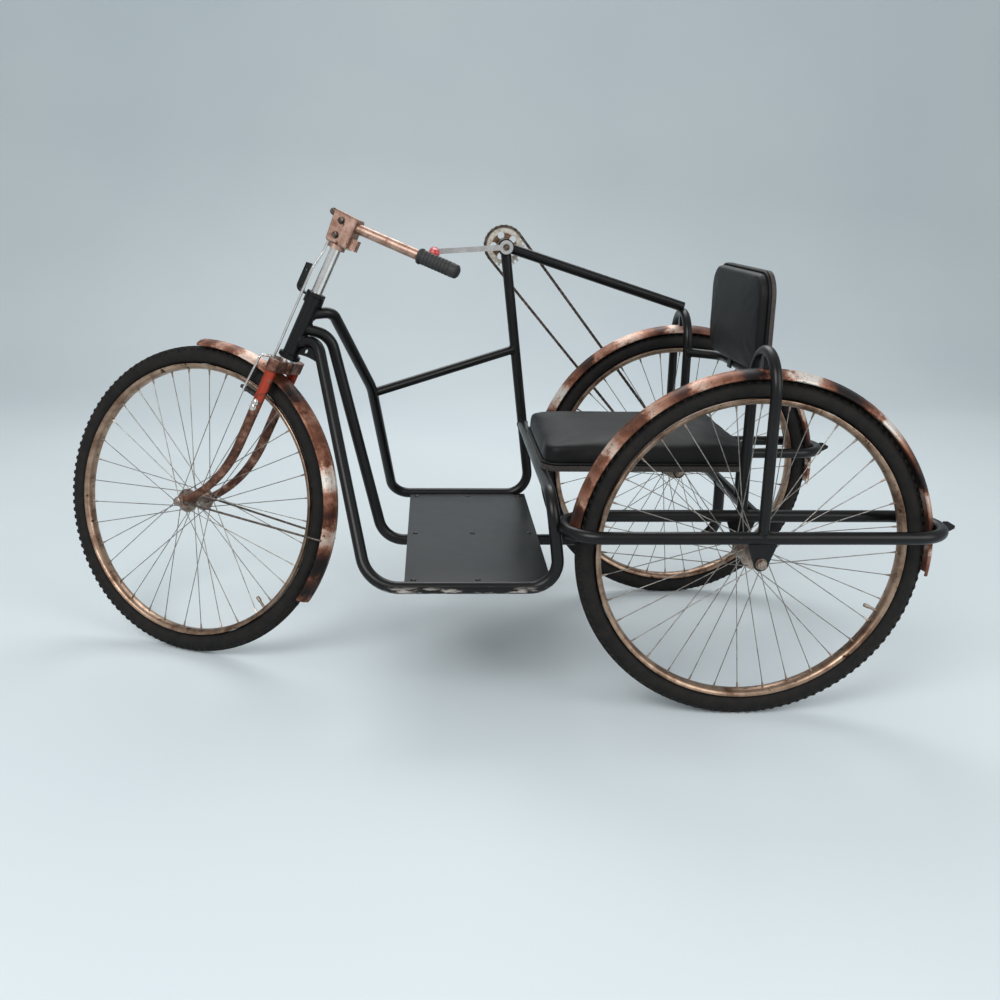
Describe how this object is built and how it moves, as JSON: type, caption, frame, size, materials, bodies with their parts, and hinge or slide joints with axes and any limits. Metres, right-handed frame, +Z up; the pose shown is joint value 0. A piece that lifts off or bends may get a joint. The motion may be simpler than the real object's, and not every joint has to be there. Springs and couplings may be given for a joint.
{
  "type": "hand-cranked mobility tricycle",
  "caption": "Hand-cranked mobility tricycle: tube frame with seat, backrest and foot board, wire wheels, a tiller-steered front fork and a side crank that drives a rear wheel by chain.",
  "frame": {"origin": "on the ground, midway under the two rear axles", "axes": "+X forward, +Y to the rider's left, +Z up"},
  "size_m": [1.9229, 0.893, 1.0164],
  "materials": {
    "black_enamel": "worn gloss black enamel",
    "tyre_rubber": "black rubber, dusty",
    "rim_plating": "dulled plating with a coppery tint",
    "spoke_steel": "plain steel wire",
    "hub_steel": "dull steel",
    "guard_plating": "aged plating, mottled copper and silver",
    "fork_plating": "worn coppery plating",
    "stem_chrome": "bright plating",
    "tiller_plating": "tarnished plating",
    "grip_rubber": "black rubber",
    "handle_red": "red plastic",
    "black_vinyl": "black leathercloth",
    "board_wood": "plywood painted black",
    "chain_steel": "oiled dark steel"
  },
  "bodies": {
    "frame": {"head_tube": "black_enamel", "left_side_tube": "black_enamel", "right_side_tube": "black_enamel", "backbone_tube": "black_enamel", "head_gusset": "black_enamel", "foot_board": "black_enamel", "side_brace": "black_enamel", "crank_shell": "black_enamel", "arm_rail": "black_enamel", "left_wheel_loop": "black_enamel", "right_wheel_loop": "black_enamel", "left_hoop": "black_enamel", "right_hoop": "black_enamel", "rear_cross_tube": "black_enamel", "axle_plates": "black_enamel", "left_axle": "hub_steel", "right_axle": "hub_steel", "seat_posts": "black_enamel", "seat_board": "board_wood", "seat_cushion": "black_vinyl", "back_rail": "black_enamel", "back_straps": "black_enamel", "backrest_board": "board_wood", "backrest_pad": "black_vinyl", "left_mudguard": "guard_plating", "right_mudguard": "guard_plating", "guard_clips": "black_enamel", "chain": "chain_steel"},
    "left_wheel": {"left_tyre": "tyre_rubber", "left_rim": "rim_plating", "left_spokes": "spoke_steel", "left_hub": "hub_steel"},
    "right_wheel": {"right_tyre": "tyre_rubber", "right_rim": "rim_plating", "right_spokes": "spoke_steel", "right_hub": "hub_steel"},
    "freewheel": {"freewheel_sprocket": "chain_steel"},
    "fork": {"fork_crown": "fork_plating", "fork_blades": "fork_plating", "steering_stem": "stem_chrome", "tiller_clamp": "tiller_plating", "tiller_bar": "tiller_plating", "tiller_grip": "grip_rubber", "lamp_bracket": "black_enamel", "brake_rod": "stem_chrome", "front_axle": "hub_steel", "front_mudguard": "guard_plating", "guard_stays": "spoke_steel"},
    "front_wheel": {"front_tyre": "tyre_rubber", "front_rim": "rim_plating", "front_spokes": "spoke_steel", "front_hub": "hub_steel"},
    "crank": {"crank_axle": "hub_steel", "chainwheel": "stem_chrome", "crank_arm": "stem_chrome", "crank_handle": "handle_red"}
  },
  "joints": [
    {"name": "left_wheel_spin", "type": "hinge", "parent": "frame", "child": "left_wheel", "pos_m": [0, 0.3575, 0.3575], "axis": [0, 1, 0], "continuous": true},
    {"name": "right_wheel_spin", "type": "hinge", "parent": "frame", "child": "right_wheel", "pos_m": [0, -0.3575, 0.3575], "axis": [0, 1, 0], "continuous": true},
    {"name": "steering", "type": "hinge", "parent": "frame", "child": "fork", "pos_m": [1.13703, 0, 0.32434], "axis": [-0.4226, 0, 0.9063], "range_deg": [-11, 65]},
    {"name": "front_wheel_spin", "type": "hinge", "parent": "fork", "child": "front_wheel", "pos_m": [1.19759, -0.03405, 0.35258], "axis": [0.4115, 0.891, 0.1919], "continuous": true},
    {"name": "crank_spin", "type": "hinge", "parent": "frame", "child": "crank", "pos_m": [0.462, -0.3575, 0.924], "axis": [0, 1, 0], "continuous": true},
    {"name": "freewheel_spin", "type": "hinge", "parent": "frame", "child": "freewheel", "pos_m": [0, -0.3575, 0.3575], "axis": [0, 1, 0], "continuous": true}
  ],
  "couplings": [
    {"joint": "freewheel_spin", "follows": "crank_spin", "ratio": 1.5}
  ]
}
